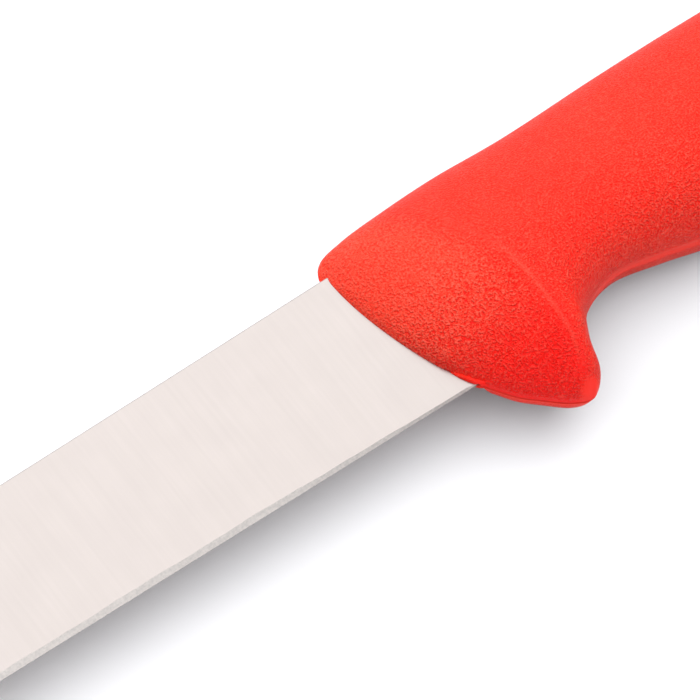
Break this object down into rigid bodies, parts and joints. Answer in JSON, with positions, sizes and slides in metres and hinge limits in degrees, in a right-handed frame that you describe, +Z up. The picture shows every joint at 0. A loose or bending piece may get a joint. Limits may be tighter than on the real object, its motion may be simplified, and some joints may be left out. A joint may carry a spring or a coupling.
{
  "type": "boning knife",
  "caption": "Butcher's boning knife: a straight-backed stainless steel blade moulded into a textured red plastic grip with a finger guard.",
  "frame": {"origin": "centre of the knife's footprint on the surface it lies on, right side down", "axes": "+X from the blade's tip to the butt, +Y from the cutting edge to the spine, +Z up, out of the blade's left side"},
  "size_m": [0.3, 0.04, 0.021],
  "materials": {
    "blade_steel": "fine cross-ground satin with a honed bevel along the edge",
    "core_plastic": "plain moulded, hidden inside the grip",
    "grip_plastic": "pebbled moulded grain, coarser ahead of the crease at the guard"
  },
  "bodies": {
    "root": {"blade": "blade_steel", "handle_core": "core_plastic", "handle_grip": "grip_plastic"}
  },
  "joints": []
}
